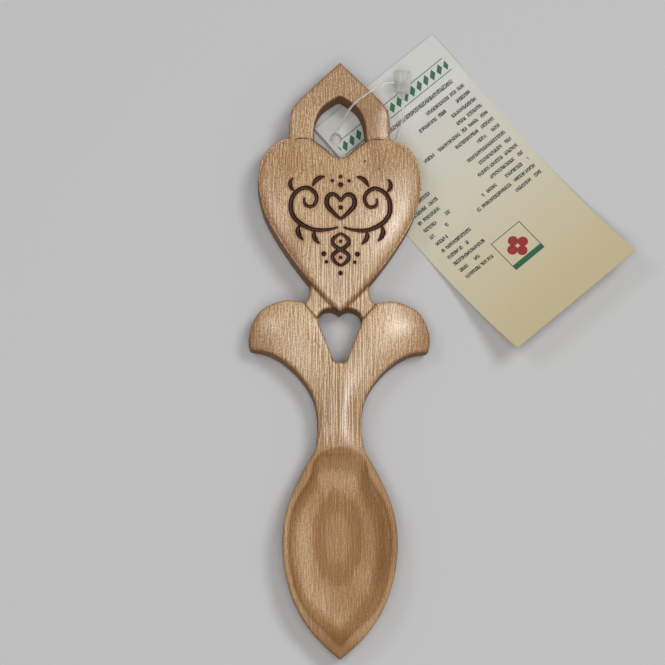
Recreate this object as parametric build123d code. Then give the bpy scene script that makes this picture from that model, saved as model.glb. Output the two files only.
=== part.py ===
from build123d import *

import math
import os

# A Welsh love spoon carved from one board, with its clear loop tag and a paper leaflet.
# Millimetres. +X is to the viewer's right, +Y runs from the bowl to the loop, +Z is up.
# The origin is the middle of the small flat under the bowl, on the surface that the spoon
# lies on. The back of the handle stays clear of that surface, with room for the leaflet.

# The spoon as a whole
tip_reach = 38.0
back_height = 2.6
overrun = 5.0

# Bowl
bowl_half_width = 19.0
bowl_neck_reach = 36.6
bowl_centre_reach = 0.5
bowl_rim_height = 11.4
belly_corner_height = 8.8
bowl_neck_half_width = 7.45
# points of the side: across as shares of the half width, along as shares from tip to neck
bowl_side_shares = ((0.647, 0.177), (1.0, 0.503), (0.868, 0.712), (0.489, 0.909))
# level curves of the belly: size as a share of the outline, height as a share of the corner's
belly_level_shares = ((0.50, 0.0), (0.70, 0.14), (0.86, 0.40), (0.96, 0.72), (1.0, 1.0))

# Hollow of the bowl
lip_width = 1.7
hollow_tip_inset = 2.9
hollow_neck_inset = 4.0
hollow_floor_height = 4.0
hollow_side_shares = ((0.643, 0.168), (1.0, 0.507), (0.854, 0.737), (0.55, 0.89))
hollow_level_shares = ((0.24, 0.0), (0.50, 0.11), (0.73, 0.33), (0.90, 0.65), (1.0, 1.0))

# Stem and wings
stem_hidden_depth = 8.6
stem_foot_half_width = 6.9
stem_waist_rise = 4.4
stem_half_width = 7.2
wing_half_span = 30.1
wing_corner_reach = 66.0
wing_length = 16.4
wing_corner_inset = 0.6
wing_crest_height = 12.5
# lower edge of a wing, as shares of the way from the stem's waist to the wing's corner
wing_lower_shares = ((0.037, 0.264), (0.227, 0.595), (0.614, 0.905))
# upper edge of a wing, as shares of the half span and of the height from corner to top
wing_upper_shares = ((1.0, 0.17), (0.944, 0.61), (0.86, 0.823), (0.59, 1.0))
# The carved front of bowl, stem and wings: places along, as shares from the bowl's tip to the
# wings' top, each with five heights, as shares of the crest's height, at five places across
front_across_shares = (0.0, 0.24, 0.47, 0.74, 1.05)
front_height_shares = (
    (-0.03, (0.83, 0.83, 0.82, 0.80, 0.77)),
    (0.15, (0.895, 0.89, 0.88, 0.85, 0.80)),
    (0.32, (0.92, 0.915, 0.905, 0.88, 0.80)),
    (0.48, (0.93, 0.905, 0.87, 0.80, 0.70)),
    (0.60, (0.935, 0.82, 0.71, 0.62, 0.55)),
    (0.68, (0.94, 0.75, 0.61, 0.55, 0.51)),
    (0.75, (0.945, 0.83, 0.69, 0.59, 0.52)),
    (0.81, (0.95, 0.91, 0.82, 0.68, 0.53)),
    (0.87, (0.955, 0.96, 0.94, 0.82, 0.56)),
    (0.94, (0.955, 0.975, 0.99, 0.90, 0.58)),
    (1.02, (0.955, 0.965, 0.97, 0.85, 0.52)),
)

# Neck plate, the lower level between wings and heart
neck_shoulder_half_width = 12.3
neck_shoulder_drop = 0.8
neck_half_width = 9.8
neck_waist_rise = 4.4
neck_top_height = 10.2
neck_hidden_depth = 9.0
recess_foot_half_width = 8.0
recess_length = 5.2

# Small heart-shaped hole under the tip of the big heart
hole_half_width = 7.3
hole_length = 18.8
hole_lobe_rise = 1.5
hole_lobe_half_span = 4.0
hole_notch_depth = 1.6
hole_wide_drop = 5.2
hole_foot_half_width = 2.4
hole_foot_rise = 1.2

# Big heart
heart_tip_reach = 78.5
heart_length = 60.2
heart_half_width = 27.1
heart_wide_rise = 42.7
heart_lobe_half_span = 13.4
heart_notch_depth = 9.5
heart_notch_round = 4.0
heart_crest_rise = 33.5
heart_crest_height = 15.0
heart_dome_radius = 152.0
heart_edge_round = 1.5
# points of the flank: shares of the half width, and of the way from tip to widest place
heart_flank_shares = ((0.36, 0.232), (0.775, 0.602))

# Loop at the top, a pointed arch
loop_half_width = 16.8
loop_apex_wall = 11.8
loop_shoulder_half_width = 12.9
loop_shoulder_drop = 12.6
loop_spring_drop = 21.0
loop_hidden_depth = 5.7
loop_top_height = 12.0
loop_edge_bevel = 0.4
opening_length = 24.0
opening_half_width = 8.7
opening_wide_rise = 10.0
opening_point_round = 1.6
# one point of the arch: shares of the half width, and of the way from widest place to top
opening_arch_share = (0.62, 0.72)

# Leaflet, a printed card: its punched corner rides over the strap, its far end curls up
leaflet_width = 52.5
leaflet_length = 105.0
leaflet_thickness = 0.3
leaflet_turn = -49.5
punch_diameter = 4.1
punch_side_inset = 3.1
punch_end_inset = 7.2
punch_x = -0.9
punch_y = 141.0
corner_lift = 1.05
lifted_length = 12.0
slope_length = 9.0
flat_end = 50.0
curl_radius = 110.0
bend_pull_share = 0.5

# Loop tag: a clear strap moulded into its lock head, its plug snapped into the socket
strap_diameter = 0.8
head_width = 5.0
head_length = 7.6
head_depth = 3.2
head_edge_round = 0.5
head_x = 21.2
head_y = 159.8
head_z = 6.4
head_tilt = 25.0
socket_diameter = 2.0
socket_offset = -0.6
plug_clearance = 0.12
plug_length = 4.4
plug_nose_length = 1.3
plug_nose_diameter = 0.9
plug_neck_length = 1.1
plug_proud_length = 0.6
root_diameter = 1.7
root_length = 1.6
root_offset = 0.5
strap_stub_length = 3.0

# The strap's way between its two straight ends, chosen by hand: over the leaflet, round its
# edge, under its corner, up through the punched hole and over the loop
strap_route = (
    (21.7, 147.4, 3.7),
    (20.4, 141.6, 2.05),
    (17.0, 135.4, 1.75),
    (11.4, 130.4, 1.6),
    (4.5, 127.6, 1.45),
    (-1.2, 130.0, 0.7),
    (-2.9, 135.4, 0.46),
    (-2.0, 141.2, 0.5),
    (1.1, 145.4, 8.9),
    (4.5, 150.3, 13.4),
    (8.8, 153.3, 13.4),
    (12.4, 156.3, 11.9),
)
run_share = 0.45

# Places along the spoon that follow from these sizes
stem_foot_reach = bowl_neck_reach - stem_hidden_depth
stem_waist_reach = bowl_neck_reach + stem_waist_rise
wing_top_reach = wing_corner_reach + wing_length
neck_shoulder_reach = wing_top_reach - neck_shoulder_drop
heart_lobe_reach = heart_tip_reach + heart_length
heart_notch_reach = heart_lobe_reach - heart_notch_depth
opening_top_reach = heart_notch_reach + opening_length
opening_wide_reach = heart_notch_reach + opening_wide_rise
apex_reach = opening_top_reach + loop_apex_wall


def spread(shares, across, start, end):
    """Points from pairs of shares: across from the middle line, along from start to end."""
    return [(across * x, start + (end - start) * y) for x, y in shares]


def both_sides(right_half):
    """The face between edges that start and end on the Y axis and their mirror image."""
    half = Curve() + right_half
    return make_face(half + mirror(half, Plane.YZ))


def sized(points, middle, size):
    """The points drawn in by one factor towards the middle."""
    return [(x * size, middle + (y - middle) * size) for x, y in points]


def bowl_outline(size):
    """The bowl's outline: pointed at its tip, cut straight at the neck."""
    side = spread(bowl_side_shares, bowl_half_width, -tip_reach, bowl_neck_reach)
    points = [(0, -tip_reach), *side, (bowl_neck_half_width, bowl_neck_reach)]
    edge = Spline(*sized(points, bowl_centre_reach, size), tangents=((1, 0.8), (-0.12, 1)))
    return both_sides([edge, Line(edge @ 1, (0, (edge @ 1).Y))])


def belly():
    """The rounded underside of the bowl, down to the small flat that it lies on."""
    levels = [Pos(0, 0, belly_corner_height * z) * bowl_outline(size) for size, z in belly_level_shares]
    return loft(levels)


def hollow_outline(size):
    """The hollow's outline: pointed at the tip, rounded at the stem."""
    tip = hollow_tip_inset - tip_reach
    top = bowl_neck_reach - hollow_neck_inset
    side = spread(hollow_side_shares, bowl_half_width - lip_width, tip, top)
    points = [(0, tip), *side, (0, top)]
    return both_sides(Spline(*sized(points, bowl_centre_reach, size), tangents=((1, 0.9), (-1, 0))))


def hollow():
    """The bowl's hollow, from its floor to above the rim."""
    depth = bowl_rim_height - hollow_floor_height
    levels = [Pos(0, 0, hollow_floor_height + depth * z) * hollow_outline(size) for size, z in hollow_level_shares]
    return loft(levels) + extrude(levels[-1], overrun)


def wings_outline():
    """Stem and wings in one outline, from inside the bowl to the neck's shoulder."""
    waist = (stem_half_width, stem_waist_reach)
    corner = (wing_half_span - wing_corner_inset, wing_corner_reach)
    width = corner[0] - waist[0]
    rise = corner[1] - waist[1]
    lower = [(waist[0] + width * x, waist[1] + rise * y) for x, y in wing_lower_shares]
    upper = spread(wing_upper_shares, wing_half_span, wing_corner_reach, wing_top_reach)
    shoulder = (neck_shoulder_half_width, neck_shoulder_reach)
    foot = Line((0, stem_foot_reach), (stem_foot_half_width, stem_foot_reach))
    stem = Spline(foot @ 1, waist, *lower, corner, tangents=((0.02, 1), (1, 0.08)))
    wing = Spline(corner, *upper, shoulder, tangents=((0.25, 1), (-1, -0.15)))
    return both_sides([foot, stem, wing, Line(shoulder, (0, neck_shoulder_reach))])


def front_section(along, heights):
    """An upright face across the spoon, whose top edge is the carved front at that place."""
    places = [wing_half_span * x for x in front_across_shares]
    tops = [wing_crest_height * z for z in heights]
    right = list(zip(places, tops))
    left = [(-x, z) for x, z in reversed(right[1:])]
    top = Spline(*left, *right)
    sides = Polyline(top @ 1, (places[-1], -overrun), (-places[-1], -overrun), top @ 0)
    at = -tip_reach + (wing_top_reach + tip_reach) * along
    return Plane((0, at, 0), x_dir=(1, 0, 0), z_dir=(0, -1, 0)) * make_face([top, sides])


def recess():
    """The cut that lets the neck plate show between the wings, beside the hole."""
    reach = neck_shoulder_reach + overrun
    foot_reach = neck_shoulder_reach - recess_length
    outline = Polyline(
        (0, foot_reach),
        (recess_foot_half_width, foot_reach),
        (neck_shoulder_half_width, neck_shoulder_reach),
        (neck_shoulder_half_width, reach),
        (0, reach),
    )
    return Pos(0, 0, neck_top_height) * extrude(both_sides(outline), wing_crest_height)


def carved_front():
    """Everything below the carved front of bowl, stem and wings."""
    return loft([front_section(along, heights) for along, heights in front_height_shares])


def lower_spoon():
    """Bowl wall, stem and wings, cut to their outlines and to the carved front."""
    wall = Pos(0, 0, belly_corner_height) * extrude(bowl_outline(1), wing_crest_height)
    handle = Pos(0, 0, back_height) * extrude(wings_outline(), wing_crest_height)
    return ((wall + handle) & carved_front()) - recess()


def neck():
    """The flat plate between wings and heart, hidden below both at its ends."""
    foot_reach = neck_shoulder_reach - neck_hidden_depth
    waist_reach = neck_shoulder_reach + neck_waist_rise
    top_reach = waist_reach + neck_hidden_depth
    foot = Line((0, foot_reach), (neck_shoulder_half_width, foot_reach))
    low = Line(foot @ 1, (neck_shoulder_half_width, neck_shoulder_reach))
    side = Spline(low @ 1, (neck_half_width, waist_reach), tangents=((-1, 0.5), (0, 1)))
    high = Line(side @ 1, (neck_half_width, top_reach))
    outline = both_sides([foot, low, side, high, Line(high @ 1, (0, top_reach))])
    return Pos(0, 0, back_height) * extrude(outline, neck_top_height - back_height)


def heart_hole():
    """The small heart-shaped hole, upside up, with a rounded foot."""
    top = heart_tip_reach + hole_lobe_rise
    bottom = top - hole_length
    lobe = Spline(
        (0, top - hole_notch_depth),
        (hole_lobe_half_span, top),
        (hole_half_width, top - hole_wide_drop),
        tangents=((1, 1.2), (-0.15, -1)),
    )
    side = Line(lobe @ 1, (hole_foot_half_width, bottom + hole_foot_rise))
    foot = Spline(side @ 1, (0, bottom), tangents=(side % 1, (-1, 0)))
    return extrude(both_sides([lobe, side, foot]), heart_crest_height + overrun)


def heart():
    """The big heart, with straight sides, a domed front and an eased edge around it."""
    tip = (0, heart_tip_reach)
    widest = (heart_half_width, heart_tip_reach + heart_wide_rise)
    flank_points = spread(heart_flank_shares, heart_half_width, tip[1], widest[1])
    flank = Spline(tip, *flank_points, widest, tangents=((1, 0.85), (0.1, 1)))
    lobe = Spline(
        widest,
        (heart_lobe_half_span, heart_lobe_reach),
        (0, heart_notch_reach),
        tangents=(flank % 1, (-0.8, -1)),
    )
    outline = both_sides([flank, lobe])
    notch = outline.vertices().group_by(Axis.Y)[-1].sort_by(Axis.X)[0]
    outline = fillet(notch, heart_notch_round)
    prism = Pos(0, 0, back_height) * extrude(outline, heart_crest_height)
    crest = (0, heart_tip_reach + heart_crest_rise, heart_crest_height - heart_dome_radius)
    dome = Pos(*crest) * Sphere(heart_dome_radius)
    block = prism & dome
    return fillet(block.faces().sort_by(Axis.Z)[-1].edges(), heart_edge_round)


def opening_outline():
    """The opening of the loop: a pointed arch that runs down behind the heart's lobes."""
    across, along = opening_arch_share
    arch = Spline(
        (0, opening_top_reach),
        (opening_half_width * across, opening_wide_reach + (opening_top_reach - opening_wide_reach) * along),
        (opening_half_width, opening_wide_reach),
        tangents=((1, -0.75), (0.05, -1)),
    )
    foot_reach = heart_lobe_reach - loop_hidden_depth - overrun
    foot = Polyline(arch @ 1, (opening_half_width, foot_reach), (0, foot_reach))
    outline = both_sides([arch, foot])
    return fillet(outline.vertices().sort_by(Axis.Y)[-1], opening_point_round)


def loop():
    """The pointed arch that the spoon hangs from."""
    foot_reach = heart_lobe_reach - loop_hidden_depth
    slope = Line((0, apex_reach), (loop_shoulder_half_width, apex_reach - loop_shoulder_drop))
    spring = (loop_half_width, apex_reach - loop_spring_drop)
    bend = Spline(slope @ 1, spring, tangents=(slope % 1, (0, -1)))
    leg = Line(spring, (loop_half_width, foot_reach))
    outline = both_sides([slope, bend, leg, Line(leg @ 1, (0, foot_reach))])
    plate = extrude(outline - opening_outline(), loop_top_height - back_height)
    front = plate.faces().sort_by(Axis.Z)[-1]
    upper = [edge for edge in front.edges() if edge.center().Y > foot_reach + loop_edge_bevel]
    return Pos(0, 0, back_height) * chamfer(upper, loop_edge_bevel)


def carved_spoon():
    """The whole spoon, one piece of wood."""
    handle = lower_spoon() + neck() - heart_hole()
    return (belly() + handle + heart() + loop()) - hollow()


def card_profile():
    """The leaflet seen on its long edge, along X: lifted corner, slope, flat part and curl."""
    end = lifted_length + slope_length
    pull = slope_length * bend_pull_share
    lifted = Line((0, corner_lift), (lifted_length, corner_lift))
    slope = Bezier((lifted_length, corner_lift), (lifted_length + pull, corner_lift), (end - pull, 0), (end, 0))
    flat = Line((end, 0), (flat_end, 0))
    curl = JernArc((flat_end, 0), (1, 0), curl_radius, math.degrees((leaflet_length - flat_end) / curl_radius))
    under = Curve() + [lifted, slope, flat, curl]
    over = Pos(0, leaflet_thickness) * under
    ends = [Line(under @ 0, over @ 0), Line(under @ 1, over @ 1)]
    return make_face([*under.edges(), *over.edges(), *ends])


def leaflet():
    """The card with its punched hole, laid under the loop."""
    card = extrude(Plane.XZ * card_profile(), -leaflet_width)
    punch = Pos(punch_end_inset, punch_side_inset, 0) * Cylinder(punch_diameter / 2, corner_lift + overrun)
    here = Pos(punch_x, punch_y, 0) * Rot(0, 0, leaflet_turn) * Pos(-punch_end_inset, -punch_side_inset, 0)
    return here * (card - punch)


head_place = Pos(head_x, head_y, head_z) * Rot(0, head_tilt, 0)


def lock_head():
    """The housing with its through socket, and the root that the strap grows from."""
    block = fillet(Box(head_width, head_length, head_depth).edges(), head_edge_round)
    socket = Pos(0, socket_offset, 0) * Rot(0, 90, 0) * Cylinder(socket_diameter / 2, head_width + overrun)
    root_middle = -(head_length + root_length) / 2
    root = Pos(root_offset, root_middle, 0) * Rot(90, 0, 0) * Cylinder(root_diameter / 2, root_length)
    return head_place * (block - socket + root)


def plug_tip():
    """The plug: a neck, a barb and a blunt nose, turned about its own axis."""
    radius = socket_diameter / 2 - plug_clearance
    start = -head_width / 2 - plug_proud_length
    neck_end = start + plug_proud_length + plug_neck_length
    nose = start + plug_length - plug_nose_length
    points = (
        (start, 0),
        (start, radius),
        (start + plug_proud_length, radius),
        (start + plug_proud_length, strap_diameter * 0.6),
        (neck_end, strap_diameter * 0.6),
        (neck_end, radius),
        (nose, radius),
        (start + plug_length, plug_nose_diameter / 2),
        (start + plug_length, 0),
    )
    turned = revolve(make_face(Polyline(*points, close=True)), Axis.X)
    return head_place * Pos(0, socket_offset, 0) * turned


def strap_path():
    """Straight runs and tangent arcs along the strap's route, square to head and plug."""
    root_end = -head_length / 2 - root_length
    plug_back = -head_width / 2 - plug_proud_length
    leaving = [Pos(root_offset, root_end, 0), Pos(root_offset, root_end - strap_stub_length, 0)]
    arriving = [Pos(plug_back - strap_stub_length, socket_offset, 0), Pos(plug_back, socket_offset, 0)]
    ends = [[(head_place * place).position for place in side] for side in (leaving, arriving)]
    points = [*ends[0], *[Vector(*point) for point in strap_route], *ends[1]]
    runs = [after - before for before, after in zip(points, points[1:])]
    turns = [math.radians(one.get_angle(two)) for one, two in zip(runs, runs[1:])]
    radii = [
        run_share * min(one.length, two.length) / math.tan(turn / 2)
        for one, two, turn in zip(runs, runs[1:], turns)
    ]
    print("strap radii", [round(radius, 2) for radius in radii])
    print("strap turns", [round(math.degrees(turn)) for turn in turns])
    print("strap runs", [round(run.length, 1) for run in runs])
    return FilletPolyline(*points, radius=radii)


def tag_filament():
    """The strap itself, one round filament from the head's root to the plug."""
    path = strap_path()
    section = Plane(path @ 0, z_dir=path % 0) * Circle(strap_diameter / 2)
    tube = sweep(section, path)
    print("strap length", round(path.length, 2), "section times length", round(section.area * path.length, 3))
    print("strap volume", round(tube.volume, 3))
    return tube


pieces = {
    "carved_spoon": carved_spoon,
    "leaflet": leaflet,
    "lock_head": lock_head,
    "plug_tip": plug_tip,
    "tag_filament": tag_filament,
}

os.makedirs("parts", exist_ok=True)
for name, make in pieces.items():
    export_step(make(), f"parts/{name}.step")
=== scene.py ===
import math

import bpy
import numpy as np
from mathutils import Matrix, Vector
from mathutils.kdtree import KDTree


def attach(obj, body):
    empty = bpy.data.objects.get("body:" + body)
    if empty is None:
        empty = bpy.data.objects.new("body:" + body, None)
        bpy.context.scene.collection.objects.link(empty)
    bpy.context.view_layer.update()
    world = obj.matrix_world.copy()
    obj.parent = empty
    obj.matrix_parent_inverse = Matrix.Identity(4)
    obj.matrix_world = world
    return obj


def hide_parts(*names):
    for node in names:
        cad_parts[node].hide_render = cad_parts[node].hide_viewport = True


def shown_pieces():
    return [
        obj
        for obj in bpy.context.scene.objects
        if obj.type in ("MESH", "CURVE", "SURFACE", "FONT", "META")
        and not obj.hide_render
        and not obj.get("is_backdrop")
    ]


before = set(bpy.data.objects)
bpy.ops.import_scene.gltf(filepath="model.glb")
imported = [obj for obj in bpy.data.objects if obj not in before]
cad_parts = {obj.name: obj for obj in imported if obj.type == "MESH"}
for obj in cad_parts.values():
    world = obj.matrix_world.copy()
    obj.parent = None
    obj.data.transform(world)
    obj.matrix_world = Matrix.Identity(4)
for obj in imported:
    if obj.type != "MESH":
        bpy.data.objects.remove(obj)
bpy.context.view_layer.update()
scene = bpy.context.scene
scene.view_settings.view_transform = "Standard"
mm = 0.001
mergeDistance = 0.002 * mm

# Most of a noise lies between these
noiseLevels = (0.3, 0.7)


# Helpers for objects and meshes

def deselectAll():
    bpy.ops.object.select_all(action="DESELECT")


def activate(obj):
    deselectAll()
    obj.select_set(True)
    bpy.context.view_layer.objects.active = obj


def addModifier(obj, kind, **settings):
    modifier = obj.modifiers.new(kind.lower(), kind)
    for key, value in settings.items():
        setattr(modifier, key, value)


def applyModifiers(obj):
    activate(obj)
    for modifier in list(obj.modifiers):
        bpy.ops.object.modifier_apply(modifier=modifier.name)


def combine(obj, other, operation, **settings):
    addModifier(obj, "BOOLEAN", operation=operation, solver="EXACT", object=other, **settings)
    applyModifiers(obj)
    bpy.data.objects.remove(other)


def inMetres(values):
    return [value * mm for value in values]


def moveBy(x, y, z):
    return Matrix.Translation(inMetres((x, y, z)))


def turnBy(degrees, axis):
    return Matrix.Rotation(math.radians(degrees), 4, axis)


def applyPlace(obj, matrix=None):
    if matrix is not None:
        obj.matrix_world = matrix
    activate(obj)
    bpy.ops.object.transform_apply(location=True, rotation=True, scale=True)


def toMesh(obj):
    activate(obj)
    bpy.ops.object.convert(target="MESH")
    return bpy.context.object


def editAll(obj):
    activate(obj)
    bpy.ops.object.mode_set(mode="EDIT")
    bpy.ops.mesh.select_all(action="SELECT")


def leaveEdit():
    bpy.ops.object.mode_set(mode="OBJECT")


def tidyNormals(obj):
    editAll(obj)
    bpy.ops.mesh.remove_doubles(threshold=mergeDistance)
    bpy.ops.mesh.normals_make_consistent(inside=False)
    leaveEdit()


def smoothByAngle(obj, degrees):
    activate(obj)
    bpy.ops.object.shade_smooth_by_angle(angle=math.radians(degrees))


def copyOfNode(node, name):
    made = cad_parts[node].copy()
    made.data = made.data.copy()
    made.name = made.data.name = name
    scene.collection.objects.link(made)
    made.parent = None
    made.matrix_world = Matrix.Identity(4)
    for key in list(made.keys()):
        del made[key]
    made.data.materials.clear()
    activate(made)
    bpy.ops.mesh.customdata_custom_splitnormals_clear()
    tidyNormals(made)
    return made


# A closed turned piece along +Z, from rings of (place, radius) in mm
def turnedPiece(name, rings, sides):
    deselectAll()
    (place, radius), *others = [inMetres(ring) for ring in rings]
    bpy.ops.mesh.primitive_circle_add(vertices=sides, radius=radius, fill_type="NGON", location=(0, 0, place))
    made = bpy.context.object
    made.name = made.data.name = name
    applyPlace(made)
    editAll(made)
    for nextPlace, nextRadius in others:
        bpy.ops.mesh.extrude_region_move(TRANSFORM_OT_translate={"value": (0, 0, nextPlace - place)})
        share = nextRadius / radius
        bpy.ops.transform.resize(value=(share, share, 1), center_override=(0, 0, nextPlace))
        place, radius = nextPlace, nextRadius
    leaveEdit()
    tidyNormals(made)
    return made


# A rod with its middle at the origin, which is cut away as a round hole
def holeCutter(name, radius, reach, sides):
    return turnedPiece(name, [(place, radius) for place in (-reach, 0, reach)], sides)


def newCurve(name, dimensions):
    data = bpy.data.curves.new(name, "CURVE")
    data.dimensions = dimensions
    made = bpy.data.objects.new(name, data)
    scene.collection.objects.link(made)
    return made, data


def setTube(data, radius, sideSteps, lineSteps):
    data.bevel_depth = radius
    data.bevel_resolution = sideSteps
    data.resolution_u = lineSteps
    data.use_fill_caps = True


# One open line through a curve object, from control points in mm
def addLine(data, spots):
    line = data.splines.new("NURBS")
    line.points.add(len(spots) - 1)
    for point, (x, y, z) in zip(line.points, spots):
        point.co = (x * mm, y * mm, z * mm, 1)
    line.order_u = 3
    line.use_endpoint_u = True
    return line


# Helpers for nodes. An input is set to a plain value, or linked to an output

def setInputs(tree, node, inputs):
    for key, value in inputs.items():
        if isinstance(value, bpy.types.NodeSocket):
            tree.links.new(value, node.inputs[key])
        else:
            node.inputs[key].default_value = value


def addNode(tree, kind, inputs=None, **settings):
    made = tree.nodes.new(kind)
    for key, value in settings.items():
        setattr(made, key, value)
    setInputs(tree, made, inputs or {})
    return made


def addMath(tree, operation, *values):
    return addNode(tree, "ShaderNodeMath", dict(enumerate(values)), operation=operation).outputs[0]


def plus(tree, first, second):
    return addMath(tree, "ADD", first, second)


def minus(tree, first, second):
    return addMath(tree, "SUBTRACT", first, second)


def times(tree, first, second):
    return addMath(tree, "MULTIPLY", first, second)


def distanceTo(tree, value, place):
    return addMath(tree, "ABSOLUTE", minus(tree, value, place))


def addVector(tree, operation, *values):
    return addNode(tree, "ShaderNodeVectorMath", dict(enumerate(values)), operation=operation)


def addRange(tree, value, fromMin, fromMax, toMin=0.0, toMax=1.0, smooth=False):
    inputs = {"Value": value, "From Min": fromMin, "From Max": fromMax, "To Min": toMin, "To Max": toMax}
    shape = "SMOOTHSTEP" if smooth else "LINEAR"
    return addNode(tree, "ShaderNodeMapRange", inputs, interpolation_type=shape).outputs["Result"]


# Swings the middle part of a noise evenly about zero
def addSwing(tree, noise, strength, levels=noiseLevels):
    return addRange(tree, noise, *levels, -strength, strength)


def addMix(tree, factor, first, second, blend="MIX"):
    inputs = {0: factor, 6: first, 7: second}
    return addNode(tree, "ShaderNodeMix", inputs, data_type="RGBA", blend_type=blend).outputs[2]


def addNoise(tree, vector, scale, detail, stretch=None):
    if stretch:
        vector = addNode(tree, "ShaderNodeMapping", {"Vector": vector, "Scale": stretch}).outputs[0]
    inputs = {"Vector": vector, "Scale": scale, "Detail": detail}
    return addNode(tree, "ShaderNodeTexNoise", inputs).outputs["Fac"]


# A grey ramp from zero to the span, with stops of (place, grey)
def addRamp(tree, value, stops, span):
    ramp = addNode(tree, "ShaderNodeValToRGB", {0: addMath(tree, "DIVIDE", value, span)})
    elements = ramp.color_ramp.elements
    for index, (level, grey) in enumerate(stops):
        stop = elements[index] if index < 2 else elements.new(level / span)
        stop.position = level / span
        stop.color = (grey, grey, grey, 1)
    return ramp.outputs["Color"]


def objectPlaceIn(tree):
    return addNode(tree, "ShaderNodeTexCoord").outputs["Object"]


def attributeIn(tree, name):
    return addNode(tree, "ShaderNodeAttribute", attribute_name=name).outputs["Fac"]


def newGroup(name, inputs, outputs):
    group = bpy.data.node_groups.new(name, "ShaderNodeTree")
    for way, sockets in (("INPUT", inputs), ("OUTPUT", outputs)):
        for key, kind in sockets.items():
            group.interface.new_socket(key, in_out=way, socket_type="NodeSocket" + kind)
    return group, group.nodes.new("NodeGroupInput"), group.nodes.new("NodeGroupOutput")


def newMaterial(name):
    material = bpy.data.materials.new(name)
    material.use_nodes = True
    tree = material.node_tree
    return material, tree, tree.nodes["Principled BSDF"]


print("camera")
cameraLook = {
    "target": (-2.36 * mm, 72.2 * mm, 8 * mm),
    "right": (0.99866, 0.0, 0.05177),
    "up": (-0.01225, 0.9716, 0.2363),
    "back": (-0.0503, -0.2366, 0.9703),
    "distance": 1.5,
    "lens": 244.4,
    "sensorWidth": 36,
    "clipStart": 0.05,
}
cameraData = bpy.data.cameras.new("photoCamera")
cameraData.lens = cameraLook["lens"]
cameraData.sensor_width = cameraLook["sensorWidth"]
cameraData.clip_start = cameraLook["clipStart"]
camera = bpy.data.objects.new("photoCamera", cameraData)
scene.collection.objects.link(camera)
turn = Matrix((cameraLook["right"], cameraLook["up"], cameraLook["back"])).transposed()
camera.rotation_euler = turn.to_euler()
camera.location = Vector(cameraLook["target"]) + Vector(cameraLook["back"]) * cameraLook["distance"]
scene.camera = camera

print("light and floor")
lightLook = {
    # round lamps aimed at the spoon: place, size, power
    "lamps": {
        "keyLight": ((0.46, 0.31, 1.03), 0.42, 4.0),
        "fillLight": ((-0.56, 0.30, 0.98), 0.42, 1.5),
        "topLight": ((-0.05, -0.30, 1.15), 0.7, 5.2),
    },
    "sky": 0.185,
    "backdrop": (0.55, 0.55, 0.55, 1),
    "floor": (0.61, 0.61, 0.612, 1),
    "floorSize": 6,
    "floorRoughness": 0.75,
    "floorShine": 0.2,
}
for name, (spot, size, power) in lightLook["lamps"].items():
    lampData = bpy.data.lights.new(name, "AREA")
    lampData.shape = "DISK"
    lampData.size = size
    lampData.energy = power
    lamp = bpy.data.objects.new(name, lampData)
    lamp.location = spot
    aim = Vector(cameraLook["target"]) - Vector(spot)
    lamp.rotation_euler = aim.to_track_quat("-Z", "Y").to_euler()
    scene.collection.objects.link(lamp)

# The backdrop is what camera, mirror and glass rays see, the weaker sky is what lights the object
world = bpy.data.worlds.new("studio")
scene.world = world
world.use_nodes = True
worldTree = world.node_tree
sky = worldTree.nodes["Background"]
setInputs(worldTree, sky, {"Color": (1, 1, 1, 1), "Strength": lightLook["sky"]})
backdrop = addNode(worldTree, "ShaderNodeBackground", {"Color": lightLook["backdrop"], "Strength": 1.0})
rays = addNode(worldTree, "ShaderNodeLightPath")
seen = plus(worldTree, rays.outputs["Is Camera Ray"], rays.outputs["Is Glossy Ray"])
seen = plus(worldTree, seen, rays.outputs["Is Transmission Ray"])
seen = addMath(worldTree, "MINIMUM", seen, 1.0)
mixed = addNode(worldTree, "ShaderNodeMixShader", {0: seen, 1: sky.outputs[0], 2: backdrop.outputs[0]})
setInputs(worldTree, worldTree.nodes["World Output"], {"Surface": mixed.outputs[0]})

deselectAll()
bpy.ops.mesh.primitive_plane_add(size=lightLook["floorSize"], location=(0, 0, 0))
floor = bpy.context.object
floor.name = "floor"
floorMaterial, floorTree, floorShader = newMaterial("paleFloor")
setInputs(floorTree, floorShader, {
    "Base Color": lightLook["floor"],
    "Roughness": lightLook["floorRoughness"],
    "Specular IOR Level": lightLook["floorShine"],
})
floor.data.materials.append(floorMaterial)
floor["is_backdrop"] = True

print("strap")
strapLook = {
    "diameter": 0.8 * mm,
    "length": 87.5 * mm,
    "exit": (21.653, 154.4, 6.189),
    "route": (
        (21.653, 154.4, 6.189),
        (21.653, 151.4, 6.189),
        (21.7, 147.4, 3.7),
        (20.4, 141.6, 2.05),
        (17.0, 135.4, 1.75),
        (11.4, 130.4, 1.6),
        (4.5, 127.6, 1.45),
        (-1.2, 130.0, 0.7),
        (-2.9, 135.4, 0.46),
        (-2.0, 141.2, 0.5),
        (1.1, 145.4, 8.9),
        (4.5, 150.3, 13.4),
        (8.8, 153.3, 13.4),
        (12.4, 156.3, 11.9),
        (15.672, 159.2, 8.978),
        (18.390, 159.2, 7.710),
    ),
    "sideSteps": 4,
    "lineSteps": 10,
    "color": (0.95, 0.95, 0.94, 1),
    "transmission": 0.5,
    "roughness": 0.25,
    "alpha": 0.48,
    "markScale": 120,
    "markSpread": 0.02,
}

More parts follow.
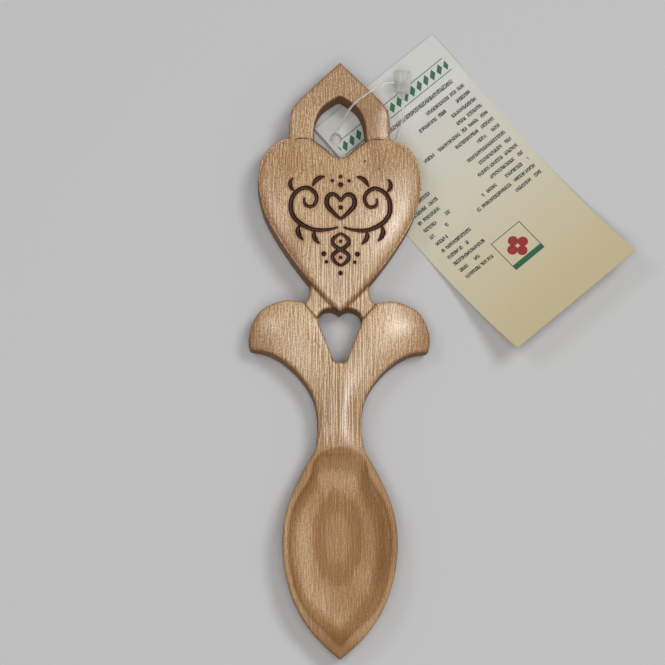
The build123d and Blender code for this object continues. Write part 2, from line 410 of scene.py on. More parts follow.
# Both plastics have this in common. The marks are fine dust and scuffs, as a change of roughness
plasticLook = {"ior": 1.46, "markDetail": 3.0, "markLevels": (0.35, 0.7)}
marks, marksIn, marksOut = newGroup(
    "plasticMarks", {"Scale": "Float", "Low": "Float", "High": "Float"}, {"Roughness": "Float"})
speckle = addNoise(marks, objectPlaceIn(marks), marksIn.outputs["Scale"], plasticLook["markDetail"])
lowest, highest = marksIn.outputs["Low"], marksIn.outputs["High"]
speckle = addRange(marks, speckle, *plasticLook["markLevels"], lowest, highest)
setInputs(marks, marksOut, {"Roughness": speckle})


def clearPlastic(name, look):
    material, tree, shader = newMaterial(name)
    group = addNode(tree, "ShaderNodeGroup", {
        "Scale": look["markScale"],
        "Low": look["roughness"],
        "High": look["roughness"] + look["markSpread"],
    }, node_tree=marks)
    setInputs(tree, shader, {
        "Base Color": look["color"],
        "IOR": plasticLook["ior"],
        "Transmission Weight": look["transmission"],
        "Alpha": look["alpha"],
        "Roughness": group.outputs["Roughness"],
    })
    return material


strap, strapData = newCurve("strap", "3D")
setTube(strapData, strapLook["diameter"] / 2, strapLook["sideSteps"], strapLook["lineSteps"])
addLine(strapData, strapLook["route"])
strapData.materials.append(clearPlastic("strapPlastic", strapLook))

print("lock head and plug")
headLook = {
    "size": (5.0, 7.6, 3.2),
    "place": (21.2, 159.8, 6.4),
    "tilt": 25,
    "edge": 0.35,
    "edgeSteps": 4,
    # a face this upright or more is a broad one
    "broadFace": 0.9,
    "recessInset": 0.75,
    "recessDepth": 0.3,
    # two ribs in the recess: their places across, their size, their middle along and their edge
    "ribs": (-0.9, 0.75),
    "ribSize": (0.45, 3.6, 2.9),
    "ribMiddle": 1.5,
    "ribEdge": 0.12,
    "ribEdgeSteps": 2,
    "socketRadius": 1.0,
    "socketReach": 4,
    "socketPlace": -0.6,
    "socketSides": 48,
    # the strap's root grows out of the end that faces the bowl, in rings of (place, radius)
    "rootRings": ((0, 0.651), (0.6, 0.62), (1.55, 0.558), (2.7, 0.45)),
    "rootPlace": 0.5,
    "rootInset": 0.5,
    "rootSides": 32,
    "smoothAngle": 35,
    "color": (0.86, 0.85, 0.82, 1),
    "transmission": 0.8,
    "roughness": 0.26,
    "alpha": 0.8,
    "markScale": 500,
    "markSpread": 0.1,
}
headPlastic = clearPlastic("headPlastic", headLook)
headPlace = moveBy(*headLook["place"]) @ turnBy(headLook["tilt"], "Y")
deselectAll()
bpy.ops.mesh.primitive_cube_add(size=1, scale=inMetres(headLook["size"]))
lockHead = bpy.context.object
lockHead.name = lockHead.data.name = "lockHead"
applyPlace(lockHead)

# A shallow recess in both broad faces
editAll(lockHead)
bpy.ops.mesh.select_mode(type="FACE")
bpy.ops.mesh.select_all(action="DESELECT")
leaveEdit()
for face in lockHead.data.polygons:
    face.select = abs(face.normal.z) > headLook["broadFace"]
bpy.ops.object.mode_set(mode="EDIT")
bpy.ops.mesh.inset(thickness=headLook["recessInset"] * mm, use_individual=True)
sunk = 1 - 2 * headLook["recessDepth"] / headLook["size"][2]
bpy.ops.transform.resize(value=(1, 1, sunk), center_override=(0, 0, 0))
leaveEdit()
addModifier(
    lockHead,
    "BEVEL",
    width=headLook["edge"] * mm,
    segments=headLook["edgeSteps"],
    limit_method="ANGLE",
    harden_normals=False,
)
applyModifiers(lockHead)

for across in headLook["ribs"]:
    deselectAll()
    bpy.ops.mesh.primitive_cube_add(
        size=1,
        location=inMetres((across, headLook["ribMiddle"], 0)),
        scale=inMetres(headLook["ribSize"]),
    )
    rib = bpy.context.object
    applyPlace(rib)
    addModifier(rib, "BEVEL", width=headLook["ribEdge"] * mm, segments=headLook["ribEdgeSteps"])
    applyModifiers(rib)
    combine(lockHead, rib, "UNION")
root = turnedPiece("root", headLook["rootRings"], headLook["rootSides"])
rootStart = headLook["rootInset"] - headLook["size"][1] / 2
applyPlace(root, moveBy(headLook["rootPlace"], rootStart, 0) @ turnBy(90, "X"))
combine(lockHead, root, "UNION")
socket = holeCutter("socket", headLook["socketRadius"], headLook["socketReach"], headLook["socketSides"])
applyPlace(socket, moveBy(0, headLook["socketPlace"], 0) @ turnBy(90, "Y"))
combine(lockHead, socket, "DIFFERENCE")
applyPlace(lockHead, headPlace)
tidyNormals(lockHead)
smoothByAngle(lockHead, headLook["smoothAngle"])
lockHead.data.materials.clear()
lockHead.data.materials.append(headPlastic)

plugLook = {
    "start": -3.1,
    "sides": 40,
    "rings": (
        (0, 0.72), (0.12, 0.88), (0.5, 0.88), (0.62, 0.5), (1.7, 0.48),
        (1.75, 0.86), (2.0, 0.88), (3.1, 0.86), (4.2, 0.5), (4.4, 0.4),
    ),
}
plugTip = turnedPiece("plugTip", plugLook["rings"], plugLook["sides"])
applyPlace(plugTip, headPlace @ moveBy(plugLook["start"], headLook["socketPlace"], 0) @ turnBy(90, "Y"))
smoothByAngle(plugTip, headLook["smoothAngle"])
plugTip.data.materials.append(headPlastic)

for piece, nodes in ((strap, ["tag_filament"]), (lockHead, ["lock_head"]), (plugTip, ["plug_tip"])):
    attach(piece, "tag")
    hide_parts(*nodes)

print("leaflet")
leafletLook = {
    "width": 52.5,
    "thickness": 0.3,
    "corner": (-7.93, 144.46),
    "turn": -49.5,
    "punchInsets": (7.2, 3.1),
    "punchRadius": 2.05,
    "punchReach": 5,
    "punchSides": 64,
    "curlSteps": 22,
    "smoothAngle": 30,
    # a face this upright or more is printed
    "printedFace": 0.3,
    # the long edge seen from the side: handle, knot, handle
    "profile": (
        ((-1, 1.05), (0, 1.05), (4, 1.05)),
        ((8, 1.05), (12, 1.05), (16.5, 1.05)),
        ((16.5, 0), (21, 0), (33, 0)),
        ((40, 0), (50, 0), (68.43, 0)),
        ((86.57, 4.63), (102.72, 13.455), (103.6, 13.94)),
    ),
}
leaflet, cardData = newCurve("leafletCard", "2D")
cardData.fill_mode = "NONE"
cardData.extrude = leafletLook["width"] / 2 * mm
cardData.resolution_u = leafletLook["curlSteps"]
cardLine = cardData.splines.new("BEZIER")
cardLine.bezier_points.add(len(leafletLook["profile"]) - 1)
for knot, (before, middle, after) in zip(cardLine.bezier_points, leafletLook["profile"]):
    knot.handle_left_type = knot.handle_right_type = "FREE"
    knot.handle_left = (*inMetres(before), 0)
    knot.co = (*inMetres(middle), 0)
    knot.handle_right = (*inMetres(after), 0)
leaflet = toMesh(leaflet)
cardTurn = math.radians(leafletLook["turn"])
longWay = Vector((math.cos(cardTurn), math.sin(cardTurn), 0))
shortWay = Vector((-math.sin(cardTurn), math.cos(cardTurn), 0))
cardCorner = Vector((*leafletLook["corner"], 0)) * mm
cardAxes = Matrix((longWay, Vector((0, 0, 1)), -shortWay)).transposed().to_4x4()
applyPlace(leaflet, Matrix.Translation(cardCorner + shortWay * leafletLook["width"] / 2 * mm) @ cardAxes)
tidyNormals(leaflet)
if leaflet.data.polygons[0].normal.z < 0:
    editAll(leaflet)
    bpy.ops.mesh.flip_normals()
    leaveEdit()
addModifier(leaflet, "SOLIDIFY", thickness=leafletLook["thickness"] * mm, offset=1, use_even_offset=True)
applyModifiers(leaflet)
punch = holeCutter("punch", leafletLook["punchRadius"], leafletLook["punchReach"], leafletLook["punchSides"])
alongCard, acrossCard = leafletLook["punchInsets"]
applyPlace(punch, Matrix.Translation(cardCorner + (longWay * alongCard + shortWay * acrossCard) * mm))
combine(leaflet, punch, "DIFFERENCE")
tidyNormals(leaflet)
smoothByAngle(leaflet, leafletLook["smoothAngle"])

# Only the side that faces up is printed
onTop = [1.0 if face.normal.z > leafletLook["printedFace"] else 0.0 for face in leaflet.data.polygons]
leaflet.data.attributes.new("printed", "FLOAT", "FACE").data.foreach_set("value", onTop)

# Places on the card are in mm, down from its punched end and across from its outer edge
printLook = {
    "upperPaper": (0.635, 0.64, 0.60, 1),
    "lowerPaper": (0.62, 0.53, 0.315, 1),
    "paperFade": (8, 92),
    "green": (0.008, 0.115, 0.052, 1),
    "ink": (0.03, 0.033, 0.03, 1),
    "red": (0.30, 0.02, 0.02, 1),
    "bandPlace": 11.0,
    "bandSpan": (1.8, 49.5),
    "lozengeSlant": 0.45,
    "lozengeHalfPitch": 1.5,
    "lozengeSteepness": 1.5,
    "lozengeReach": 1.85,
    "ruleDistance": 2.5,
    "ruleReach": 0.14,
    "rowPitch": 3.05,
    "rowStart": 19.4,
    "rowFill": 0.44,
    "rowShift": 17.3,
    # scale, detail and level of the noises that break the rows into strokes and words
    "strokes": (2.6, 1.0, 0.45),
    "words": (0.36, 0.0, 0.38),
    "rightRows": (19.4, 62),
    "rightStarts": (21, 41),
    "rightEnd": 49.3,
    "leftRows": (22, 73),
    "leftStart": 5.2,
    "leftEnds": (9, 20),
    "subHeadingPlace": 16.6,
    "subHeadingReach": 0.75,
    "subHeadingSpan": (6, 47),
    "squarePlace": (74.8, 25.6),
    "squareReach": 6.2,
    "squareLine": 0.13,
    "squareInside": 6.1,
    "footStart": 79.2,
    "petalDistance": 2.3,
    "petalRadius": 1.75,
    "fibreScale": 700,
    "fibreDetail": 3.0,
    "mottle": 0.06,
    "roughness": (0.42, 0.55),
    "bump": 0.15,
    "bumpDepth": 0.02,
}
paper, paperTree, paperShader = newMaterial("printedCard")
paperPlace = objectPlaceIn(paperTree)
cardPlace = addNode(paperTree, "ShaderNodeMapping", {
    "Vector": paperPlace,
    "Location": cardCorner,
    "Rotation": (0, 0, cardTurn),
    "Scale": (mm, mm, mm),
}, vector_type="TEXTURE").outputs[0]
cardSplit = addNode(paperTree, "ShaderNodeSeparateXYZ", {0: cardPlace})
down, across = cardSplit.outputs[0], cardSplit.outputs[1]
printed = attributeIn(paperTree, "printed")


def above(value, level):
    return addMath(paperTree, "GREATER_THAN", value, level)


def below(value, level):
    return addMath(paperTree, "LESS_THAN", value, level)


def within(value, middle, reach):
    return addMath(paperTree, "COMPARE", value, middle, reach)


def both(first, second):
    return times(paperTree, first, second)


def either(first, second):
    return addMath(paperTree, "MAXIMUM", first, second)


def between(value, low, high):
    return both(above(value, low), below(value, high))


def spotAt(x, y):
    return addNode(paperTree, "ShaderNodeCombineXYZ", {0: x, 1: y}).outputs[0]


def patchesOf(place, scale, detail, level):
    return above(addNoise(paperTree, place, scale, detail), level)


# Heading: a chain of green lozenges between two rules
fromBand = distanceTo(paperTree, down, printLook["bandPlace"])
leaning = plus(paperTree, across, times(paperTree, down, printLook["lozengeSlant"]))
wave = addMath(paperTree, "PINGPONG", leaning, printLook["lozengeHalfPitch"])
wave = times(paperTree, wave, printLook["lozengeSteepness"])
lozenges = below(plus(paperTree, fromBand, wave), printLook["lozengeReach"])
rules = within(fromBand, printLook["ruleDistance"], printLook["ruleReach"])
heading = both(either(lozenges, rules), between(across, *printLook["bandSpan"]))

# Rows of short broken bars in two columns, too fine and too plain to read
fromRows = minus(paperTree, down, printLook["rowStart"])
rowPlace = addMath(paperTree, "DIVIDE", fromRows, printLook["rowPitch"])
row = addMath(paperTree, "FLOOR", rowPlace)
inRow = below(addMath(paperTree, "FRACT", rowPlace), printLook["rowFill"])
chance = addNode(paperTree, "ShaderNodeTexWhiteNoise", {"W": row}, noise_dimensions="1D").outputs["Value"]
rowShift = times(paperTree, row, printLook["rowShift"])
strokes = patchesOf(spotAt(across, plus(paperTree, down, rowShift)), *printLook["strokes"])
words = patchesOf(spotAt(across, rowShift), *printLook["words"])
bars = both(inRow, both(strokes, words))
rightStart = addRange(paperTree, chance, 0, 1, *printLook["rightStarts"])
rightColumn = both(between(across, rightStart, printLook["rightEnd"]), between(down, *printLook["rightRows"]))
leftEnd = addRange(paperTree, chance, 0, 1, *printLook["leftEnds"])
leftColumn = both(between(across, printLook["leftStart"], leftEnd), between(down, *printLook["leftRows"]))
onSubHeading = within(down, printLook["subHeadingPlace"], printLook["subHeadingReach"])
subHeading = both(both(onSubHeading, strokes), between(across, *printLook["subHeadingSpan"]))
inkMask = either(both(bars, either(rightColumn, leftColumn)), subHeading)

# A thin framed square with a four-petal rosette on a green foot
squareDown, squareAcross = printLook["squarePlace"]
fromSquareDown = distanceTo(paperTree, down, squareDown)
fromSquareAcross = distanceTo(paperTree, across, squareAcross)
fromSquare = either(fromSquareDown, fromSquareAcross)
inkMask = either(inkMask, within(fromSquare, printLook["squareReach"], printLook["squareLine"]))
footMask = both(below(fromSquare, printLook["squareInside"]), above(down, printLook["footStart"]))
petalReaches = []
for petal in (
    spotAt(minus(paperTree, fromSquareDown, printLook["petalDistance"]), fromSquareAcross),
    spotAt(fromSquareDown, minus(paperTree, fromSquareAcross, printLook["petalDistance"])),
):
    petalReaches.append(addVector(paperTree, "LENGTH", petal).outputs["Value"])
redMask = below(addMath(paperTree, "MINIMUM", *petalReaches), printLook["petalRadius"])

fibre = addNoise(paperTree, paperPlace, printLook["fibreScale"], printLook["fibreDetail"])
mottled = plus(
    paperTree,
    addRange(paperTree, down, *printLook["paperFade"]),
    addSwing(paperTree, fibre, printLook["mottle"]),
)
paperColor = addMix(paperTree, mottled, printLook["upperPaper"], printLook["lowerPaper"])
for mask, tone in ((inkMask, "ink"), (either(heading, footMask), "green"), (redMask, "red")):
    paperColor = addMix(paperTree, both(mask, printed), paperColor, printLook[tone])
paperBump = addNode(paperTree, "ShaderNodeBump", {
    "Height": fibre,
    "Strength": printLook["bump"],
    "Distance": printLook["bumpDepth"] * mm,
})
setInputs(paperTree, paperShader, {
    "Base Color": paperColor,
    "Roughness": addRange(paperTree, fibre, *noiseLevels, *printLook["roughness"]),
    "Normal": paperBump.outputs[0],
})
leaflet.data.materials.append(paper)
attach(leaflet, "leaflet")
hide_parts("leaflet")

print("wood")
woodLook = {
    "light": (0.79, 0.59, 0.375, 1),
    "middle": (0.465, 0.268, 0.112, 1),
    "dark": (0.27, 0.125, 0.034, 1),
    # tints that multiply the color: of the dark ring and of the whole bowl, and painted shade on slopes,
    # which darkens a face the more it turns away from up
    "ring": (1.0, 0.95, 0.80, 1),
    "bowl": (0.98, 1.0, 1.10, 1),
    "shadedSlope": (0.74, 0.58, 0.42, 1),
    "slopeShare": 0.75,
    # colors that cover: painted shade on walls, and a dark brown that is painted shade along the creases and
    # also the colour of the two small knots (the specks)
    "shadedWall": (0.17, 0.07, 0.03, 1),
    "wallShare": 0.85,
    "wallRoughness": 0.4,
    "creaseShadeAndKnots": (0.06, 0.025, 0.012, 1),
    "grooveShare": 0.95,
    "creaseShadeEdge": (1.0, 0.4),
    "scorchShare": 0.5,
    "specks": ((8.24, 129.92, 0.42), (12.92, 127.22, 0.32)),
    "speckEdge": (1.7, 0.5),
    "burntShine": 0.2,
    "burntCoat": 0.05,
    "burntLight": (0.085, 0.028, 0.014, 1),
    "burntMiddle": (0.045, 0.014, 0.008, 1),
    "burntDark": (0.016, 0.005, 0.003, 1),
    # tone of the layers of the board, by height in mm
    "layers": (
        (0.0, 0.50), (3.0, 0.55), (5.0, 0.50), (7.4, 0.40), (8.2, 0.42), (9.2, 0.50), (10.2, 0.56),
        (11.2, 0.54), (12.2, 0.56), (12.9, 0.50), (13.6, 0.56), (14.3, 0.58), (15.0, 0.56), (16.0, 0.55),
    ),
    "layerSpan": 16,
    "layerWave": 0.7,
    "warpScale": 45,
    "warpStretch": (1, 0.35, 1),
    "warpLevels": (0.2, 0.8),
    # where the bowl's own figure starts along the spoon and is full, in mm
    "bowlStart": (39, 30),
    # tone of the rings in the bowl, by distance from their middle as a share of their reach
    "bowlMiddle": (-0.4, 3.0),
    "bowlReach": (7.6, 15.6),
    "bowlFigure": (
        (0.0, 0.32), (0.44, 0.29), (0.60, 0.09), (0.90, 0.05), (1.12, 0.42), (1.45, 0.52), (2.5, 0.50),
    ),
    "figureSpan": 2.5,
    "ringTones": (0.38, 0.12),
    "ringWave": 0.12,
    "raggedScale": 1500,
    "raggedStretch": (1, 0.06, 1),
    "raggedLevels": (0.25, 0.75),
    "raggedRing": 0.13,
    # brown band round the bowl, and its darker rim
    "bandLevel": 8.4,
    "bandTilt": 70,
    "bandWave": 0.6,
    "bandReach": (2.2, 0.7),
    "bandStrength": 0.30,
    "rimLevels": (8.8, 10.0),
    "rimStrength": 0.14,
    # fine lines, short lines and flecks: scale, stretch and strength
    "lines": (2500, (1, 0.03, 0.05), 0.7),
    "shorts": (2700, (1, 0.10, 0.1), 0.38),
    "flecks": (4000, (1, 0.5, 0.3), 0.45),
    "lineStep": 0.34,
    "lineLevels": (-0.25, 0.25),
    "lineShare": 0.22,
    "middleShare": 0.95,
    "middleAcross": (16, 4),
    "middleAlong": (122, 98),
    "bowlLines": 0.08,
    "ringLines": 0.22,
    "paleFlecks": 0.8,
    "bowlFlecks": 0.48,
    "patchScale": 75,
    "patchStretch": (1, 0.3, 0.6),
    "patchStrength": 0.07,
    # broad darker and paler places: middle x and y, reach across and along, strength. Some are the wood's own
    # figure; the paler places on the wings, the heart's right flank and the bowl's left side are painted
    # sheen, and darker places on the loop's right, the stem, the heart's lower left edge and the bowl's right
    # side are painted shade
    "figureShadeAndSheen": (
        (0, 158, 24, 22, -0.22), (12, 146, 8, 12, -0.46), (-12, 144, 8, 12, -0.08), (19, 131, 8, 8, -0.14),
        (-15, 128, 10, 9, -0.26), (14, 127, 7, 10, -0.26), (-25, 112, 6, 16, -0.12), (-28, 66, 6, 12, -0.20),
        (28, 68, 5, 12, -0.12), (0, -36, 10, 11, -0.30), (-14, 76, 12, 9, 0.18), (15, 74, 12, 10, 0.26),
        (18, 102, 6, 9, 0.12), (0, 48, 9, 24, -0.32), (13.5, 0, 4, 22, -0.20), (-12, -4, 4, 20, 0.16),
        (-9, -20, 6, 8, 0.12), (0, 84, 9, 7, -0.08), (0, 92, 10, 9, -0.14), (-15, 103, 7, 11, -0.26),
        (19, 110, 5, 8, 0.10), (3, -17, 8, 9, -0.24), (8.5, 2, 3.5, 18, -0.14), (-17, 2, 3, 22, 0.24),
        (18.5, 2, 2.5, 22, -0.22), (0, -35, 6, 5, -0.20),
    ),
    "bloomWave": 0.2,
    "bloomEdge": (1.2, 0.2),
    "satin": (0.40, 0.28),
    "satinLevel": 0.6,
    "bowlDullness": 0.24,
    "polish": 0.85,
    "coatRoughness": 0.28,
    "ior": 1.48,
    "bumpDepth": 0.06,
    "broadDetail": 2.0,
    "fineDetail": 1.0,
}
grain, grainIn, grainOut = newGroup(
    "woodGrain",
    {"Light": "Color", "Middle": "Color", "Dark": "Color", "Streaks": "Float"},
    {"Color": "Color", "Roughness": "Float", "Polish": "Float", "Height": "Float"},
)
woodPlace = objectPlaceIn(grain)
woodSplit = addNode(grain, "ShaderNodeSeparateXYZ", {0: woodPlace})
xPlace, yPlace, zPlace = woodSplit.outputs[:3]
broad, fine = woodLook["broadDetail"], woodLook["fineDetail"]
warp = addNoise(grain, woodPlace, woodLook["warpScale"], broad, woodLook["warpStretch"])
heightHere = times(grain, zPlace, 1 / mm)
layerHeight = plus(grain, heightHere, addSwing(grain, warp, woodLook["layerWave"], woodLook["warpLevels"]))
layers = addRamp(grain, layerHeight, woodLook["layers"], woodLook["layerSpan"])

# In the bowl the layers are cut as long rings round a middle oval
ragged = addNoise(grain, woodPlace, woodLook["raggedScale"], broad, woodLook["raggedStretch"])
squares = []
for place, middle, reach in zip((xPlace, yPlace), woodLook["bowlMiddle"], woodLook["bowlReach"]):
    share = addMath(grain, "DIVIDE", minus(grain, place, middle * mm), reach * mm)
    squares.append(addMath(grain, "POWER", share, 2))
fromBowl = addMath(grain, "SQRT", plus(grain, *squares))
fromBowl = plus(grain, fromBowl, addSwing(grain, ragged, woodLook["raggedRing"], woodLook["raggedLevels"]))
fromBowl = plus(grain, fromBowl, addSwing(grain, warp, woodLook["ringWave"], woodLook["warpLevels"]))
rings = addRamp(grain, fromBowl, woodLook["bowlFigure"], woodLook["figureSpan"])
inBowl = addRange(grain, yPlace, *inMetres(woodLook["bowlStart"]), smooth=True)
figure = addMix(grain, inBowl, layers, rings)

# The streaks are strongest along the middle, from the stem up into the heart
fromMiddle = addMath(grain, "ABSOLUTE", xPlace)
middleAcross = addRange(grain, fromMiddle, *inMetres(woodLook["middleAcross"]), smooth=True)
middleAlong = addRange(grain, yPlace, *inMetres(woodLook["middleAlong"]), smooth=True)
inMiddle = times(grain, middleAcross, middleAlong)


# Two places in one noise, a little apart, leave only the fine lines
def addLines(scale, stretch, strength):
    beside = addVector(grain, "ADD", woodPlace, (woodLook["lineStep"] * mm, 0, 0)).outputs[0]
    here, there = [addNoise(grain, spot, scale, fine, stretch) for spot in (woodPlace, beside)]
    return addSwing(grain, minus(grain, here, there), strength, woodLook["lineLevels"])


lineShare = plus(grain, woodLook["lineShare"], times(grain, inMiddle, woodLook["middleShare"]))
lineShare = times(grain, lineShare, addRange(grain, inBowl, 0, 1, 1, woodLook["bowlLines"]))
ringLines = addRange(grain, rings, *woodLook["ringTones"], 0, woodLook["ringLines"])
lineShare = plus(grain, lineShare, times(grain, inBowl, ringLines))
lines = addLines(*woodLook["lines"])
shorts = addLines(*woodLook["shorts"])
fleckScale, fleckStretch, fleckStrength = woodLook["flecks"]
flecks = addSwing(grain, addNoise(grain, woodPlace, fleckScale, fine, fleckStretch), fleckStrength)
fineTone = plus(grain, shorts, flecks)
fineTone = addMath(grain, "MINIMUM", fineTone, times(grain, fineTone, woodLook["paleFlecks"]))
fineTone = times(grain, fineTone, addRange(grain, inBowl, 0, 1, 1, woodLook["bowlFlecks"]))
streakTone = plus(grain, times(grain, lines, lineShare), fineTone)
streakTone = times(grain, streakTone, grainIn.outputs["Streaks"])
patches = addNoise(grain, woodPlace, woodLook["patchScale"], broad, woodLook["patchStretch"])
tone = plus(grain, plus(grain, figure, streakTone), addSwing(grain, patches, woodLook["patchStrength"]))

# A brown band runs round the bowl where its wall cuts the middle layers, and the rim is darker
bandHeight = plus(grain, heightHere, times(grain, xPlace, woodLook["bandTilt"]))
bandHeight = plus(grain, bandHeight, addSwing(grain, ragged, woodLook["bandWave"], woodLook["raggedLevels"]))
bandAway = distanceTo(grain, bandHeight, woodLook["bandLevel"])
band = addRange(grain, bandAway, *woodLook["bandReach"], 0, woodLook["bandStrength"], smooth=True)
rim = addRange(grain, heightHere, *woodLook["rimLevels"], 0, woodLook["rimStrength"], smooth=True)
tone = minus(grain, tone, times(grain, plus(grain, band, rim), inBowl))

# Broad places of the wood's figure, of painted sheen and of painted shade
for x, y, wide, long, strength in woodLook["figureShadeAndSheen"]:
    offset = addVector(grain, "SUBTRACT", woodPlace, (x * mm, y * mm, 0)).outputs[0]
    scaled = addVector(grain, "MULTIPLY", offset, (1 / wide / mm, 1 / long / mm, 0)).outputs[0]
    away = addVector(grain, "LENGTH", scaled).outputs["Value"]
    away = plus(grain, away, addSwing(grain, patches, woodLook["bloomWave"]))
    tone = plus(grain, tone, addRange(grain, away, *woodLook["bloomEdge"], 0, strength, smooth=True))
light, medium, dark = [grainIn.outputs[key] for key in ("Light", "Middle", "Dark")]
grainColor = addMix(grain, addRange(grain, tone, 0, 0.5), dark, medium)
grainColor = addMix(grain, addRange(grain, tone, 0.5, 1), grainColor, light)
ringHere = times(grain, inBowl, addRange(grain, rings, *woodLook["ringTones"]))
grainColor = addMix(grain, ringHere, grainColor, woodLook["ring"], "MULTIPLY")
grainColor = addMix(grain, inBowl, grainColor, woodLook["bowl"], "MULTIPLY")
satin = addRange(grain, streakTone, -woodLook["satinLevel"], woodLook["satinLevel"], *woodLook["satin"])
dullness = plus(grain, satin, addRange(grain, inBowl, 0, 1, 0, woodLook["bowlDullness"]))
setInputs(grain, grainOut, {
    "Color": grainColor,
    "Roughness": dullness,
    "Polish": addRange(grain, inBowl, 0, 1, woodLook["polish"], 0),
    "Height": streakTone,
})


def woodMaterial(name, light, middle, dark, streaks, bump):
    material, tree, shader = newMaterial(name)
    group = addNode(tree, "ShaderNodeGroup", {
        "Light": woodLook[light],
        "Middle": woodLook[middle],
        "Dark": woodLook[dark],
        "Streaks": streaks,
    }, node_tree=grain)
    relief = addNode(tree, "ShaderNodeBump", {
        "Height": group.outputs["Height"],
        "Strength": bump,
        "Distance": woodLook["bumpDepth"] * mm,
    })
    setInputs(tree, shader, {
        "Coat Roughness": woodLook["coatRoughness"],
        "IOR": woodLook["ior"],
        "Normal": relief.outputs[0],
    })
    return material, tree, shader, group


wood, woodTree, woodShader, woodGroup = woodMaterial(
    "waxedWood", "light", "middle", "dark", streaks=1.0, bump=0.35)
shadedSlopes = attributeIn(woodTree, "shadedSlope")
shadedWalls = attributeIn(woodTree, "shadedWall")
fromCrease = attributeIn(woodTree, "crease")
scorched = attributeIn(woodTree, "scorch")
creaseShade = addRange(woodTree, fromCrease, *woodLook["creaseShadeEdge"], smooth=True)
rougher = times(woodTree, shadedWalls, woodLook["wallRoughness"])
woodColor = woodGroup.outputs["Color"]
# Painted shade: the colour darkens on slopes, turns dark brown on walls and darker still along creases; the
# scorch near the burnt lines is the wood's own colour
for mask, share, tone, blend in (
    (shadedSlopes, "slopeShare", "shadedSlope", "MULTIPLY"),
    (shadedWalls, "wallShare", "shadedWall", "MIX"),
    (creaseShade, "grooveShare", "creaseShadeAndKnots", "MIX"),
    (scorched, "scorchShare", "dark", "MIX"),
):
    woodColor = addMix(woodTree, times(woodTree, mask, woodLook[share]), woodColor, woodLook[tone], blend)
flatPlace = addVector(woodTree, "MULTIPLY", objectPlaceIn(woodTree), (1, 1, 0)).outputs[0]
# Two small dark knots, in the same dark brown as the painted crease shade
for x, y, radius in woodLook["specks"]:
    away = addVector(woodTree, "DISTANCE", flatPlace, (x * mm, y * mm, 0)).outputs["Value"]
    edge = [radius * share * mm for share in woodLook["speckEdge"]]
    woodColor = addMix(woodTree, addRange(woodTree, away, *edge, smooth=True), woodColor, woodLook["creaseShadeAndKnots"])
setInputs(woodTree, woodShader, {
    "Base Color": woodColor,
    "Roughness": plus(woodTree, woodGroup.outputs["Roughness"], rougher),
    "Coat Weight": times(woodTree, woodGroup.outputs["Polish"], minus(woodTree, 1.0, shadedWalls)),
})
burnt, burntTree, burntShader, burntGroup = woodMaterial(
    "burntWood", "burntLight", "burntMiddle", "burntDark", streaks=0.6, bump=0.6)
setInputs(burntTree, burntShader, {
    "Base Color": burntGroup.outputs["Color"],
    "Roughness": burntGroup.outputs["Roughness"],
    "Specular IOR Level": woodLook["burntShine"],
    "Coat Weight": woodLook["burntCoat"],
})

print("spoon")
spoonLook = {
    "voxel": 0.54,
    "quickVoxel": 0.9,
    "smoothing": 3,
    "smoothFactor": 0.5,
    # the loop's half width and start, which the heart's edge leaves out
    "loopPart": (16.5, 126),
    # the heart's edge: its start, least height and slopes
    "edgeStart": 79,
    "edgeHeight": 9.5,
    "edgeSlopes": (0.3, 0.75),
    # the rolled front: its start, least height and slope, and where it fades in
    "rollStart": 82,
    "rollHeight": 11.2,
    "rollSlope": 0.3,
    "rollFade": (84, 12),
    "rollWidth": 5.5,
    "rollDepth": 0.7,
    "domeRadius": 152.0,
    "domeMiddle": (0.0, 112.0, -137.0),
    "strokeRadius": 0.7,
    "strokeSink": 0.12,
    "strokeSides": 3,
    "strokeSteps": 5,
    "cutterVoxel": 0.2,
    "dotSegments": 20,
    "dotRings": 10,
    # creases, along which shade is painted: least angle, step along them, least height and start, and their
    # reaches, wider on the left where the shade falls
    "creaseAngle": 14,
    "creaseStep": 0.2,
    "creaseHeight": 8,
    "creaseStart": 50,
    "creaseReach": 0.45,
    "shadedCreaseReach": 0.65,
    "shadedCreaseEnd": 110,
    "creaseLimit": 3.0,
    # painted shade starts below this upward share of the normal, and is full this much lower
    "slopeTilt": (0.99, 0.16),
    "wallTilt": (0.75, 0.45),
    "openingTilt": (0.96, 0.25),
    "slopeRounds": 4,
    "wallRounds": 2,
    "bowlEnd": 33,
    "bowlSlope": 0.2,
    # half width, start and end of the loop's opening
    "opening": (9.5, 132.5, 153.5),
    # start and height of the part of the heart that the burning can reach
    "scorchPart": (85, 12),
    "scorchReach": 0.9,
}


def meshArrays(mesh):
    places = np.empty(len(mesh.vertices) * 3)
    mesh.vertices.foreach_get("co", places)
    directions = np.empty(len(mesh.vertices) * 3)
    mesh.vertex_normals.foreach_get("vector", directions)
    return places.reshape(-1, 3), directions.reshape(-1, 3)


def treeOf(places):
    tree = KDTree(len(places))
    for index, place in enumerate(places):
        tree.insert(place, index)
    tree.balance()
    return tree


# Points along the inner edges of the carved front, where the heart and the wings rise
def innerEdges(mesh):
    facesOf = {}
    for face in mesh.polygons:
        for key in face.edge_keys:
            facesOf.setdefault(key, []).append(face)
    least = math.radians(spoonLook["creaseAngle"])
    spots = []
    for (first, second), faces in facesOf.items():
        if len(faces) != 2 or faces[0].normal.angle(faces[1].normal, 0) < least:
            continue
        start, end = mesh.vertices[first].co, mesh.vertices[second].co
        inward = (faces[1].center - faces[0].center).dot(faces[0].normal) > 0
        if inward and min(start.z, end.z) > spoonLook["creaseHeight"] * mm:
            steps = max(1, int((end - start).length / (spoonLook["creaseStep"] * mm)))
            spots += [start.lerp(end, step / steps) for step in range(steps + 1)]
    return spots


